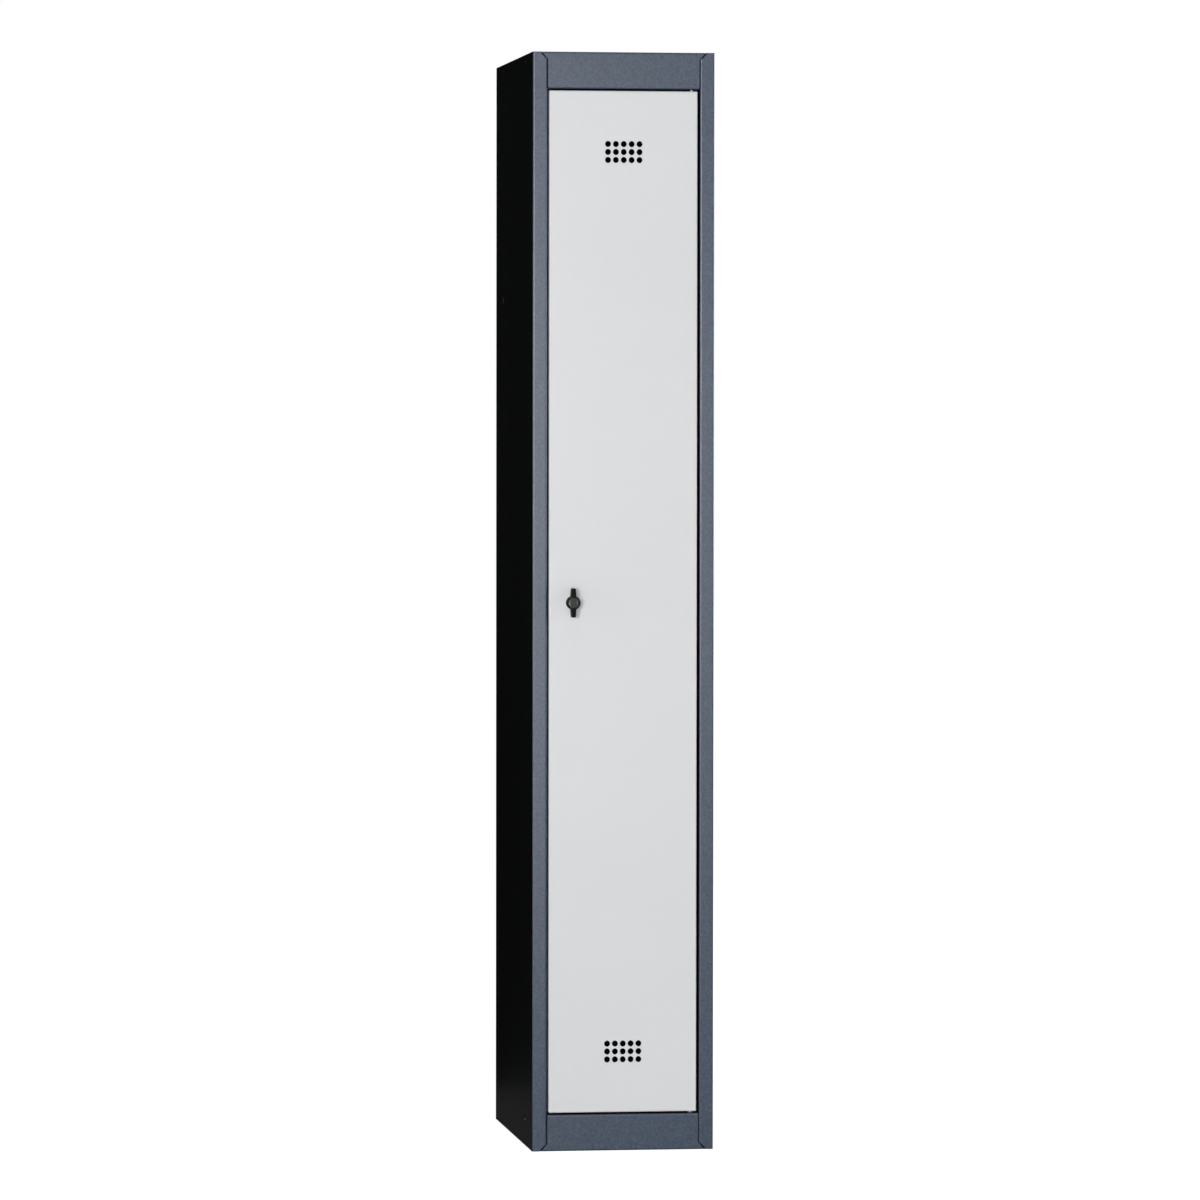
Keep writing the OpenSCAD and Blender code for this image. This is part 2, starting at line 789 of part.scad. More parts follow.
// One wing, from the ring's middle to its tip, with small round corners
module wing_outline() {
    tip_z = knob_length / 2;
    tip_x = wing_tip_w / 2;
    root_z = knob_well_d / 2;
    polygon([
        [-wing_root_w / 2, root_z], [wing_root_w / 2, root_z],
        [tip_x, tip_z - wing_corner_r], [-tip_x, tip_z - wing_corner_r]
    ]);
    translate([-tip_x + wing_corner_r, tip_z - 2 * wing_corner_r])
        square([wing_tip_w - 2 * wing_corner_r, 2 * wing_corner_r]);
    for (side = [-1, 1]) translate([side * (tip_x - wing_corner_r), tip_z - wing_corner_r])
        circle(wing_corner_r);
}

module turn_knob() {
    color(BLACK) at_latch() difference() {
        union() {
            difference() {
                rod_y(knob_ring_d, 0, knob_ring_front_y, knob_base_y, 0);
                rod_y(knob_well_d, 0, knob_ring_front_y - cut, knob_base_y + cut, 0);
            }
            intersection() {
                rod_y(knob_ring_d, 0, bridge_front_y, knob_base_y, 0);
                box([-bridge_w / 2, bridge_w / 2], [bridge_front_y, knob_base_y], knob_ring_d / 2 * [-1, 1]);
            }
            for (side = [0, 1]) mirror([0, 0, side]) along_y(bridge_front_y, knob_base_y) wing_outline();
        }
        rod_x(shackle_hole_d, -knob_ring_d, knob_ring_d, shackle_y, 0);
        // The pocket that the spindle's square drives
        box(
            (spindle_front_square / 2 + fit_gap) * [-1, 1],
            [knob_base_y - spindle_grip - fit_gap, knob_base_y + cut],
            (spindle_front_square / 2 + fit_gap) * [-1, 1]
        );
    }
}

module knob_cap() {
    cap_h = knob_ring_d - 2 * knob_ring_drop;
    color(DARK_GREY) at_latch() along_y(-knob_stand, bridge_front_y)
        translate([-bridge_w / 2, -cap_h / 2]) rounded_square([bridge_w, cap_h], wing_corner_r);
}

module spindle() {
    square_start_y = cam_front_y - fit_gap;
    color(STEEL) at_latch() {
        box(
            spindle_front_square / 2 * [-1, 1], [knob_base_y - spindle_grip, knob_base_y],
            spindle_front_square / 2 * [-1, 1]
        );
        rod_y(spindle_d, 0, knob_base_y, square_start_y, 0);
        box(
            spindle_square / 2 * [-1, 1], [square_start_y, cam_front_y + cam_t],
            spindle_square / 2 * [-1, 1]
        );
        rod_y(thread_d, 0, cam_front_y + cam_t, cam_nut_front_y + cam_nut_t + washer_t, 0);
    }
}

module cam_washer() {
    color(ZINC) at_latch() difference() {
        rod_y(washer_d, 0, washer_front_y, washer_front_y + washer_t, 0);
        rod_y(spindle_d + 2 * fit_gap, 0, washer_front_y - cut, washer_front_y + washer_t + cut, 0);
    }
}

// The cam hangs down at rest, which is unlocked, and has a round end at its hub
module latch_cam() {
    color(STEEL) at_latch() difference() {
        along_y(cam_front_y, cam_front_y + cam_t) {
            circle(d = cam_w);
            translate([-cam_w / 2, -cam_length]) rounded_square([cam_w, cam_length], wing_corner_r);
        }
        box(
            (spindle_square / 2 + fit_gap) * [-1, 1], [cam_front_y - cut, cam_front_y + cam_t + cut],
            (spindle_square / 2 + fit_gap) * [-1, 1]
        );
    }
}

module cam_nut() {
    color(ZINC) at_latch() difference() {
        along_y(cam_nut_front_y, cam_nut_front_y + cam_nut_t) hexagon(cam_nut_w);
        rod_y(thread_d + 2 * fit_gap, 0, cam_nut_front_y - cut, cam_nut_front_y + cam_nut_t + cut, 0);
    }
}

// Sliding hooks: an oval collar on the coat rail, with a bent bar that ends in a ball.

module hook(index) {
    hook_x = (index - (hook_count - 1) / 2) * hook_spacing;
    inner = [coat_rail_h + 2 * sliding_gap, coat_rail_w + 2 * sliding_gap];
    outer = inner + 2 * collar_t * [1, 1];
    stem_top_z = -outer[0] / 2 + collar_t / 2;
    bend_z = stem_top_z - hook_stem;
    color(BLACK) translate([hook_x, front_y + coat_rail_y, coat_rail_z]) {
        along_x(-collar_w / 2, collar_w / 2) difference() {
            oval(outer[0], outer[1]);
            oval(inner[0], inner[1]);
        }
        rod_z(hook_bar_d, 0, 0, bend_z, stem_top_z);
        translate([0, -hook_bend_r, bend_z]) rotate([0, 90, 0]) rotate([0, 0, -90])
            rotate_extrude(angle = 180) translate([hook_bend_r, 0]) circle(d = hook_bar_d);
        rod_z(hook_bar_d, 0, -2 * hook_bend_r, bend_z, bend_z + hook_tip);
        translate([0, -2 * hook_bend_r, bend_z + hook_tip]) sphere(d = hook_ball_d);
    }
}

module hook_1() {
    hook(0);
}

module hook_2() {
    hook(1);
}

module hook_3() {
    hook(2);
}

left_stile();
right_stile();
top_rail();
bottom_rail();
left_side();
right_side();
back_panel();
top_panel();
floor_panel();
hat_shelf();
shelf_rivets();
coat_rail();
left_rail_bracket();
right_rail_bracket();
bracket_rivets();
door_buffers();
top_pivot_bush();
bottom_pivot_bush();
door_skin();
door_stiffener();
top_pivot_block();
bottom_pivot_block();
top_pivot_pin();
bottom_pivot_pin();
thrust_washer();
lock_body();
lock_nut();
turn_knob();
knob_cap();
spindle();
cam_washer();
latch_cam();
cam_nut();
hook_1();
hook_2();
hook_3();
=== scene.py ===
import math

import bmesh
import bpy
from mathutils import Matrix, Vector


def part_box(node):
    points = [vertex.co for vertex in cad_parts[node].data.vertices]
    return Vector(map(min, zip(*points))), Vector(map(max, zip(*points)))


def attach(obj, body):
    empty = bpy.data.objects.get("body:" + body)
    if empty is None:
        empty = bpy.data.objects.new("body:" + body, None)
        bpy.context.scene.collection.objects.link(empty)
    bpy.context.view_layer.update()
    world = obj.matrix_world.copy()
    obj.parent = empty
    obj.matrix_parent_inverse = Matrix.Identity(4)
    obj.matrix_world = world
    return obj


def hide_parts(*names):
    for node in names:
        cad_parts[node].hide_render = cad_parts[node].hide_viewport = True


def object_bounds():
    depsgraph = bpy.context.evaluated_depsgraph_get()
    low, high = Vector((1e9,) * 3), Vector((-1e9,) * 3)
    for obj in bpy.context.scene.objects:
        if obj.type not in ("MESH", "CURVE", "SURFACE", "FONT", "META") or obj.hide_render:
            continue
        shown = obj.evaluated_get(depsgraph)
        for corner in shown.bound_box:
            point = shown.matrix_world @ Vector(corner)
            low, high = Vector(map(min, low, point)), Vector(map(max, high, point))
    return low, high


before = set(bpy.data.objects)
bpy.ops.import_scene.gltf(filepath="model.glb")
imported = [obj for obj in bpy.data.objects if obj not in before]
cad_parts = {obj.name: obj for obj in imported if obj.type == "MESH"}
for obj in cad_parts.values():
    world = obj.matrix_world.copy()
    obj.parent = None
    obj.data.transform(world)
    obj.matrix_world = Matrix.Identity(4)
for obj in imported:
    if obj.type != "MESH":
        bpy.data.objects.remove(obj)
cad_low, cad_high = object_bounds()
MM = 0.001

# The camera stands a little to the left of the locker, ten metres away and at chest height, and
# looks slightly down. Its place and lens were fitted to the locker's corners in the photograph.
CAMERA_PLACE = Vector((-1.4524, -10.5587, 1.1936))
CAMERA_YAW = 0.13617
CAMERA_PITCH = -0.02777
CAMERA_ROLL = 0.00108
CAMERA_REACH_M = 60.0
SENSOR_MM = 36.0
FRAME_PX = 1200
FOCAL_PX = 6361.9


def placed(name, data):
    """A new object that stands in the scene."""
    item = bpy.data.objects.new(name, data)
    bpy.context.scene.collection.objects.link(item)
    return item


camera_data = bpy.data.cameras.new("camera")
camera_data.sensor_width = SENSOR_MM
camera_data.lens = SENSOR_MM * FOCAL_PX / FRAME_PX
camera_data.clip_end = CAMERA_REACH_M
camera = placed("camera", camera_data)
camera.location = CAMERA_PLACE
camera.rotation_mode = "QUATERNION"
turn = (
    Matrix.Rotation(-CAMERA_YAW, 3, "Z")
    @ Matrix.Rotation(math.pi / 2 + CAMERA_PITCH, 3, "X")
    @ Matrix.Rotation(CAMERA_ROLL, 3, "Z")
)
camera.rotation_quaternion = turn.to_quaternion()
bpy.context.scene.camera = camera


# The studio: a white sweep under and behind the locker. Seen directly it is plain white, in a
# reflection it is dimmer, and it gives the object only soft, even light.
WORLD_FILL = 0.06
REFLECTED_STUDIO = 0.26
REFLECTED_FLOOR = 0.06
FLOOR_SIZE_M = 60.0
SHADOW_SHARE = 0.25
GLOW_REACH_M = (1.0, 4.0)
GLOW_NEAR = 1.26
GLOW_FAR = 1.36


def add_node(tree, kind, settings=None, **links):
    """Adds a node, sets its own properties and its sockets, and links what is given as a socket."""
    node = tree.nodes.new(kind)
    for name, value in (settings or {}).items():
        setattr(node, name, value)
    for name, value in links.items():
        key = int(name[1:]) if name[0] == "i" and name[1:].isdigit() else name.replace("_", " ")
        if isinstance(value, bpy.types.NodeSocket):
            tree.links.new(value, node.inputs[key])
        else:
            node.inputs[key].default_value = value
    return node


def calculated(tree, operation, first, second):
    """The result of one calculation with two numbers or sockets."""
    node = add_node(tree, "ShaderNodeMath", {"operation": operation}, i0=first, i1=second)
    return node.outputs[0]


def mapped(tree, value, span, low, high):
    """A value that runs from low to high while the given one crosses its span."""
    return add_node(
        tree, "ShaderNodeMapRange",
        Value=value, From_Min=span[0], From_Max=span[1], To_Min=low, To_Max=high,
    ).outputs[0]


def mixed(tree, share, first, second):
    """Two shaders, of which the second shows by the given share."""
    return add_node(tree, "ShaderNodeMixShader", Fac=share, i1=first, i2=second).outputs[0]


def srgb(code):
    """The linear colour of an sRGB hex code."""
    parts = [int(code[i:i + 2], 16) / 255 for i in (0, 2, 4)]
    linear = [p / 12.92 if p <= 0.04045 else ((p + 0.055) / 1.055) ** 2.4 for p in parts]
    return (*linear, 1.0)


def new_material(name):
    """A new material, with its node tree and the shader in it."""
    material = bpy.data.materials.new(name)
    material.use_nodes = True
    return material, material.node_tree, material.node_tree.nodes["Principled BSDF"]


bpy.context.scene.view_settings.view_transform = "Standard"
world = bpy.data.worlds.new("studio")
bpy.context.scene.world = world
world.use_nodes = True
tree = world.node_tree
tree.nodes.clear()
path = add_node(tree, "ShaderNodeLightPath").outputs
seen_straight = calculated(
    tree, "MAXIMUM", path["Is Camera Ray"], path["Is Transmission Ray"],
)
fill = add_node(tree, "ShaderNodeBackground", Color=srgb("FFFFFF"), Strength=WORLD_FILL)
shine = add_node(tree, "ShaderNodeBackground", Color=srgb("F4F7FF"), Strength=REFLECTED_STUDIO)
white = add_node(tree, "ShaderNodeBackground", Color=srgb("FFFFFF"), Strength=1.0)
lit = mixed(tree, path["Is Glossy Ray"], fill.outputs[0], shine.outputs[0])
studio = mixed(tree, seen_straight, lit, white.outputs[0])
add_node(tree, "ShaderNodeOutputWorld", Surface=studio)

floor_mesh = bpy.data.meshes.new("studio_floor")
half = FLOOR_SIZE_M / 2
floor_mesh.from_pydata(
    [(-half, -half, 0.0), (half, -half, 0.0), (half, half, 0.0), (-half, half, 0.0)],
    [], [(0, 1, 2, 3)],
)
floor = placed("studio_floor", floor_mesh)
floor_paint, tree, _ = new_material("white_studio_floor")
tree.nodes.clear()
path = add_node(tree, "ShaderNodeLightPath").outputs
glow_share = calculated(tree, "MULTIPLY", path["Is Camera Ray"], 1.0 - SHADOW_SHARE)
matt = add_node(tree, "ShaderNodeBsdfDiffuse", Color=srgb("F2F2F2"))
dim = add_node(tree, "ShaderNodeEmission", Color=srgb("FFFFFF"), Strength=REFLECTED_FLOOR)
away = add_node(
    tree, "ShaderNodeVectorMath", {"operation": "LENGTH"},
    i0=add_node(tree, "ShaderNodeTexCoord").outputs["Object"],
)
strength = mapped(tree, away.outputs["Value"], GLOW_REACH_M, GLOW_NEAR, GLOW_FAR)
glow = add_node(tree, "ShaderNodeEmission", Color=srgb("FFFFFF"), Strength=strength)
lit = mixed(tree, path["Is Glossy Ray"], matt.outputs[0], dim.outputs[0])
surface = mixed(tree, glow_share, lit, glow.outputs[0])
add_node(tree, "ShaderNodeOutputMaterial", Surface=surface)
floor_mesh.materials.append(floor_paint)


# The lamps: a softbox at the left, whose shadow of the knob falls to the right, and one beside the
# camera that lies as a soft sheen on the paint. Weak ones all round draw out the folded edges. The
# one behind gives light only, because the locker's top would mirror it.
def softbox(name, place, target, size, power):
    """A round soft lamp that faces its target."""
    data = bpy.data.lights.new(name, "AREA")
    data.shape = "DISK"
    data.size = size
    data.energy = power
    lamp = placed(name, data)
    lamp.location = place
    lamp.rotation_mode = "QUATERNION"
    lamp.rotation_quaternion = (Vector(target) - Vector(place)).to_track_quat("-Z", "Y")
    return lamp


LOCKER_MIDDLE = (0.0, 0.0, 0.95)
softbox("key_softbox", (-2.6, -5.2, 1.4), LOCKER_MIDDLE, 1.1, 122.0)
softbox("sheen_softbox", (-0.4, -5.0, 1.05), LOCKER_MIDDLE, 2.5, 61.0)
softbox("left_edge_softbox", (-3.6, -0.7, 1.2), LOCKER_MIDDLE, 1.2, 24.0)
softbox("right_edge_softbox", (3.4, -0.8, 1.3), LOCKER_MIDDLE, 1.2, 40.0)
softbox("top_edge_softbox", (-0.4, -0.8, 4.6), LOCKER_MIDDLE, 1.2, 26.0)
back_lamp = softbox("back_softbox", (2.5, 4.5, 3.2), LOCKER_MIDDLE, 2.0, 70.0)
back_lamp.visible_glossy = False


# A black flag stands behind the locker's left edge. Only reflections see it: it keeps the bright
# studio out of the left side, which the camera sees at a grazing angle.
FLAG_Y = 0.75
FLAG_LEFT = -4.0
FLAG_RIGHT = -0.17
FLAG_TOP = 3.5
flag_mesh = bpy.data.meshes.new("black_flag")
flag_mesh.from_pydata(
    [
        (FLAG_LEFT, FLAG_Y, 0.0), (FLAG_RIGHT, FLAG_Y, 0.0),
        (FLAG_RIGHT, FLAG_Y, FLAG_TOP), (FLAG_LEFT, FLAG_Y, FLAG_TOP),
    ],
    [], [(0, 1, 2, 3)],
)
flag = placed("black_flag", flag_mesh)
flag_cloth, _, shader = new_material("black_flag_cloth")
shader.inputs["Base Color"].default_value = srgb("000000")
shader.inputs["Specular IOR Level"].default_value = 0.0
flag_mesh.materials.append(flag_cloth)
flag.visible_camera = False
flag.visible_diffuse = False
flag.visible_transmission = False
flag.visible_shadow = False


# The front frame: two stiles and two rails, each folded from 1.2 mm steel sheet, welded together
# and powder coated slate. The slanted cuts at the corners are eased, and the black on the eased
# rims is painted shade, which shows as a dark seam.
def noise(tree, place, size, detail):
    """Soft random values in patches of the given size."""
    node = add_node(tree, "ShaderNodeTexNoise", Vector=place, Scale=1 / size, Detail=detail)
    return node.outputs[0]


def coat(tree, shader, colour, tone, roughness):
    """Gives a shader its colour, made lighter or darker by a share, and its roughness."""
    base = add_node(
        tree, "ShaderNodeVectorMath", {"operation": "SCALE"}, i0=srgb(colour)[:3], Scale=tone,
    )
    tree.links.new(base.outputs[0], shader.inputs["Base Color"])
    tree.links.new(roughness, shader.inputs["Roughness"])


def raise_grain(tree, shader, height, depth_mm):
    """Raises a shader's surface by a fine relief."""
    bump = add_node(
        tree, "ShaderNodeBump", Height=height, Strength=1.0, Distance=depth_mm * MM,
    )
    tree.links.new(bump.outputs[0], shader.inputs["Normal"])


NOISE_SPAN = (0.25, 0.75)
DRIFT_SIZE_M = 0.35
DRIFT_SHARE = 0.015
SHEEN_SHARE = 0.015


def powder_coat(name, colour, roughness, level, grain_mm, grain_share, peel_mm, peel_height_mm):
    """Baked powder: a faint speckle, slow drifts of tone and the orange peel of the melted film.

    The speckle is drawn coarse enough to show from ten metres.
    """
    paint, tree, shader = new_material(name)
    place = add_node(tree, "ShaderNodeTexCoord").outputs["Object"]
    grain = noise(tree, place, grain_mm * MM, 2.0)
    drift = noise(tree, place, DRIFT_SIZE_M, 2.0)
    peel = noise(tree, place, peel_mm * MM, 1.0)
    tone = mapped(tree, grain, NOISE_SPAN, 1.0 - grain_share, 1.0 + grain_share)
    slow = mapped(tree, drift, NOISE_SPAN, 1.0 - DRIFT_SHARE, 1.0 + DRIFT_SHARE)
    both = calculated(tree, "MULTIPLY", tone, slow)
    sheen = mapped(tree, grain, NOISE_SPAN, roughness - SHEEN_SHARE, roughness + SHEEN_SHARE)
    coat(tree, shader, colour, both, sheen)
    shader.inputs["Specular IOR Level"].default_value = level
    raise_grain(tree, shader, peel, peel_height_mm)
    return paint


SLANTED_SHARE = 0.3
FRONT_NORMAL_Y = -0.99
CUT_NORMAL_Y = 0.05
# Marks eased faces for the black coat, which is painted shade in the seams.
PAINTED_SEAM_SHADE = 1


def is_slanted_rim(edge):
    """True where a front face meets the cut edge of a sheet along a slanted line."""
    line = edge.verts[1].co - edge.verts[0].co
    slanted = min(abs(line.x), abs(line.z)) > SLANTED_SHARE * line.length
    facing = sorted(face.normal.y for face in edge.link_faces)
    return (
        slanted and len(facing) == 2
        and facing[0] < FRONT_NORMAL_Y and abs(facing[1]) < CUT_NORMAL_Y
    )


SAME_POINT_M = 1e-6
NO_LENGTH_M = 5e-6
SAME_PLANE_DEGREES = 0.3
FLATS_WEIGHT = 100


def dressed(
    node, edge_mm, paint, body,
    flat_degrees=28, steps=2, cut_mm=0.0, picked=None, end="dressed",
):
    """A copy of a solid with its sharp edges eased, as deburring, plating or a paint film does.

    Where a solid has two coats, or a coat and painted shade or highlight, each is a piece of its
    own that holds only the picked faces. A cut_mm eases the front rim of its slanted cuts, and
    marks the new faces for the picking, where they take painted seam shade.
    """
    shape = bmesh.new()
    shape.from_mesh(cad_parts[node].data)
    bmesh.ops.remove_doubles(shape, verts=shape.verts, dist=SAME_POINT_M)
    bmesh.ops.dissolve_limit(
        shape, angle_limit=math.radians(SAME_PLANE_DEGREES), verts=shape.verts, edges=shape.edges,
    )
    shape.normal_update()
    for face in shape.faces:
        face.material_index = 0
    if cut_mm:
        rims = [edge for edge in shape.edges if is_slanted_rim(edge)]
        eased = bmesh.ops.bevel(
            shape, geom=rims, offset=cut_mm * MM, segments=1, profile=0.5, affect="EDGES",
        )
        for face in eased["faces"]:
            face.material_index = PAINTED_SEAM_SHADE
        bmesh.ops.dissolve_degenerate(shape, dist=NO_LENGTH_M, edges=shape.edges)
    if picked:
        others = [face for face in shape.faces if not picked(face)]
        bmesh.ops.delete(shape, geom=others, context="FACES")
    for face in shape.faces:
        face.smooth = True
        face.material_index = 0
    limit = math.radians(flat_degrees)
    for edge in shape.edges:
        edge.smooth = len(edge.link_faces) == 2 and edge.calc_face_angle(math.pi) < limit
    mesh = bpy.data.meshes.new(f"{node}_{end}")
    shape.to_mesh(mesh)
    shape.free()
    mesh.materials.append(paint)
    piece = placed(f"{node}_{end}", mesh)
    if edge_mm:
        ease = piece.modifiers.new("eased_edges", "BEVEL")
        ease.width = edge_mm * MM
        ease.segments = steps
        ease.limit_method = "ANGLE"
        ease.angle_limit = limit
        ease.harden_normals = True
        ease.use_clamp_overlap = True
    flats = piece.modifiers.new("flats_stay_flat", "WEIGHTED_NORMAL")
    flats.mode = "FACE_AREA"
    flats.weight = FLATS_WEIGHT
    flats.keep_sharp = True
    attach(piece, body)
    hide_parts(node)
    return piece


SLATE_DEPTH = 1.6 * MM
frame_face_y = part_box("left_stile")[0].y


# The black on the wraps runs on from the side. On the returns, lips and cut edges it is painted
# shade in the gap round the door and in the seams.
def black_wrap_or_painted_shade(face):
    """True for a member's wraps, returns and lips, and for its cut edges in the seams."""
    depth = face.calc_center_median().y - frame_face_y
    return (
        depth > SLATE_DEPTH or abs(face.normal.y) < CUT_NORMAL_Y
        or face.material_index == PAINTED_SEAM_SHADE
    )


slate_paint = powder_coat("slate_powder_coat", "404C5E", 0.30, 0.72, 3.2, 0.38, 2.5, 0.006)
# The width of the eased rim on each slanted cut. Its black coat is painted seam shade.
SEAM_SHADE_CUT_MM = 0.75
frame_members = ("top_rail", "bottom_rail", "left_stile", "right_stile")
for node in frame_members:
    dressed(
        node, 0.0, slate_paint, "carcass",
        cut_mm=SEAM_SHADE_CUT_MM, picked=lambda face: not black_wrap_or_painted_shade(face),
    )


# The carcass: sides, back, top and floor of 1 mm sheet, folded and spot welded, under a
# near-black powder coat with a faint sheen. The frame members' wraps take this coat to run on from
# the black side. On their returns, lips and cut edges it is painted shade, which keeps the gap
# round the door and the corner seams black.
black_paint = powder_coat("black_powder_coat", "0B0C0D", 0.38, 0.3, 3.2, 0.12, 2.5, 0.01)
SHEET_EDGE_MM = 0.22
for node in ("left_side", "right_side", "back_panel", "top_panel", "floor_panel"):
    dressed(node, SHEET_EDGE_MM, black_paint, "carcass")
# The frame members' black pieces: the side's black on the wraps, and painted shade on the returns,
# lips and cut edges.
for node in frame_members:
    dressed(
        node, 0.0, black_paint, "carcass",
        cut_mm=SEAM_SHADE_CUT_MM, picked=black_wrap_or_painted_shade, end="black_and_painted_shade",
    )


# The corner gussets: thin plates welded inside each corner of the front frame. One lies across the
# seam between the stile's cut end and the rail's wing, and one backs the upright seam from the
# rail's side. Their black coat is painted shade: only their black faces show, as a dark line
# in the seams.
GUSSET_T = 1.0 * MM
WING_GUSSET_BACK = 2.4 * MM
SEAM_GUSSET_BACK = 1.3 * MM
# Each outline's points are millimetres in from the frame's side and in from its end.
WING_GUSSET_MM = [(3.0, 19.0), (22.3, 19.0), (22.3, 1.6), (14.6, 1.6), (13.1, 0.1), (3.0, 0.1)]
SEAM_GUSSET_MM = [(24.3, 56.0), (36.0, 56.0), (36.0, 4.0), (24.3, 4.0)]
plates = bmesh.new()
for side in (-1, 1):
    for end_z, inward in ((cad_low.z, 1), (cad_high.z, -1)):
        for set_back, outline in (
            (WING_GUSSET_BACK, WING_GUSSET_MM), (SEAM_GUSSET_BACK, SEAM_GUSSET_MM),
        ):
            front = [
                plates.verts.new((
                    side * (cad_high.x - from_side * MM),
                    frame_face_y + set_back,
                    end_z + inward * from_end * MM,
                ))
                for from_side, from_end in outline
            ]
            face = plates.faces.new(front)
            drawn = bmesh.ops.extrude_face_region(plates, geom=[face])["geom"]
            moved = [item for item in drawn if isinstance(item, bmesh.types.BMVert)]
            bmesh.ops.translate(plates, verts=moved, vec=(0.0, GUSSET_T, 0.0))
bmesh.ops.recalc_face_normals(plates, faces=plates.faces)
gusset_mesh = bpy.data.meshes.new("corner_gussets")
plates.to_mesh(gusset_mesh)
plates.free()
# The black coat here is painted shade in the seams.
gusset_mesh.materials.append(black_paint)
gussets = placed("corner_gussets", gusset_mesh)
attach(gussets, "carcass")


# Spot welds: shallow round marks that the electrodes leave along each lapped flange. The paint
# flows over them, so they have the colour of the sheet. They stand inside, where the sheets lap.
def open_tree(name, inputs):
    """A new geometry tree with the given inputs, and one more for its coat."""
    tree = bpy.data.node_groups.new(name, "GeometryNodeTree")
    tree.interface.new_socket("Geometry", in_out="OUTPUT", socket_type="NodeSocketGeometry")
    for socket, kind in {**inputs, "Coat": "Material"}.items():
        tree.interface.new_socket(socket, in_out="INPUT", socket_type="NodeSocket" + kind)
    return tree, add_node(tree, "NodeGroupInput").outputs


def row_of_points(tree, given):
    """Points along a line, as many as asked for."""
    return add_node(
        tree, "GeometryNodeMeshLine", {"mode": "OFFSET"},
        Count=given["Number"], Start_Location=given["First"], Offset=given["Step"],
    ).outputs[0]


def close_tree(tree, given, copies, smooth):
    """Makes the copies real, gives them their coat and sends them out of the tree."""
    real = add_node(tree, "GeometryNodeRealizeInstances", Geometry=copies)
    shaded = add_node(
        tree, "GeometryNodeSetShadeSmooth", Geometry=real.outputs[0], Shade_Smooth=smooth,
    )
    coated = add_node(
        tree, "GeometryNodeSetMaterial", Geometry=shaded.outputs[0], Material=given["Coat"],
    )
    out = add_node(tree, "NodeGroupOutput")
    tree.links.new(coated.outputs[0], out.inputs[0])
    return tree


def grown(name, tree, rows, paint, body):
    """Runs a node tree once for each row of inputs and joins what it makes into one plain mesh."""
    whole = bmesh.new()
    sockets = {
        item.name: item.identifier for item in tree.interface.items_tree
        if item.in_out == "INPUT"
    }
    for row in rows:
        carrier = placed(f"{name}_carrier", bpy.data.meshes.new(f"{name}_carrier"))
        work = carrier.modifiers.new(name, "NODES")
        work.node_group = tree
        for socket, value in {**row, "Coat": paint}.items():
            work[sockets[socket]] = value
        graph = bpy.context.evaluated_depsgraph_get()
        mesh = bpy.data.meshes.new_from_object(carrier.evaluated_get(graph))
        whole.from_mesh(mesh)
        bpy.data.meshes.remove(mesh)
        carrier.modifiers.remove(work)
        bpy.data.objects.remove(carrier)
    mesh = bpy.data.meshes.new(name)
    whole.to_mesh(mesh)
    whole.free()
    mesh.materials.append(paint)
    piece = placed(name, mesh)
    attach(piece, body)
    return piece


WELD_CROWN_SHARE = 0.32


def spot_weld_tree():
    """A row of low domes along a line, turned to face out of the sheet."""
    tree, given = open_tree("spot_weld_row", {
        "First": "Vector", "Step": "Vector", "Number": "Int",
        "Diameter": "Float", "Height": "Float", "Turn": "Vector",
    })
    dome = add_node(
        tree, "GeometryNodeMeshCone", {"fill_type": "NGON"},
        Vertices=16, Depth=given["Height"],
        Radius_Top=calculated(tree, "MULTIPLY", given["Diameter"], WELD_CROWN_SHARE),
        Radius_Bottom=calculated(tree, "MULTIPLY", given["Diameter"], 0.5),
    )
    marks = add_node(
        tree, "GeometryNodeInstanceOnPoints",
        Points=row_of_points(tree, given), Instance=dome.outputs["Mesh"], Rotation=given["Turn"],
    )
    return close_tree(tree, given, marks.outputs[0], False)


WELD_D = 5.5 * MM
WELD_H = 0.2 * MM
BACK_FLANGE_MIDDLE = 5.5 * MM
BACK_FIRST_Z = 0.15
BACK_PITCH = 120 * MM
FLOOR_FLANGE_MIDDLE = 4.2 * MM
FLOOR_FIRST_Y = 50 * MM
FLOOR_PITCH = 80 * MM
SHEET_T = 1.0 * MM
FACE_FRONT = (math.pi / 2, 0.0, 0.0)
FACE_BACK = (-math.pi / 2, 0.0, 0.0)
FACE_RIGHT = (0.0, math.pi / 2, 0.0)
FACE_LEFT = (0.0, -math.pi / 2, 0.0)
spot_welds = spot_weld_tree()
back_low, back_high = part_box("back_panel")
floor_low, floor_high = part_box("floor_panel")
carcass_rows = []
for side in (-1, 1):
    carcass_rows.append({
        "First": (
            side * (back_high.x - BACK_FLANGE_MIDDLE), back_low.y - WELD_H / 2, BACK_FIRST_Z,
        ),
        "Step": (0.0, 0.0, BACK_PITCH), "Number": 14,
        "Diameter": WELD_D, "Height": WELD_H, "Turn": FACE_FRONT,
    })
    carcass_rows.append({
        "First": (
            side * (floor_high.x - SHEET_T - WELD_H / 2), floor_low.y + FLOOR_FIRST_Y,
            floor_low.z + FLOOR_FLANGE_MIDDLE,
        ),
        "Step": (0.0, FLOOR_PITCH, 0.0), "Number": 5,
        "Diameter": WELD_D, "Height": WELD_H, "Turn": FACE_RIGHT if side < 0 else FACE_LEFT,
    })
grown("carcass_spot_welds", spot_welds, carcass_rows, black_paint, "carcass")


# The hat shelf: one tray of the same sheet, with turned-down flanges, held by a flush rivet in
# each side and spot welded at the back.
dressed("hat_shelf", SHEET_EDGE_MM, black_paint, "carcass")


# Bright zinc plate on the small turned and stamped parts: a thin electroplated film, clear
# passivated, which looks like pale steel with a cool cast and faint cloudy patches.
PATCH_SPAN = (0.2, 0.8)
PATCH_DARK, PATCH_PALE = 0.9, 1.06
PATCH_GLOSSIER, PATCH_DULLER = 0.06, 0.08


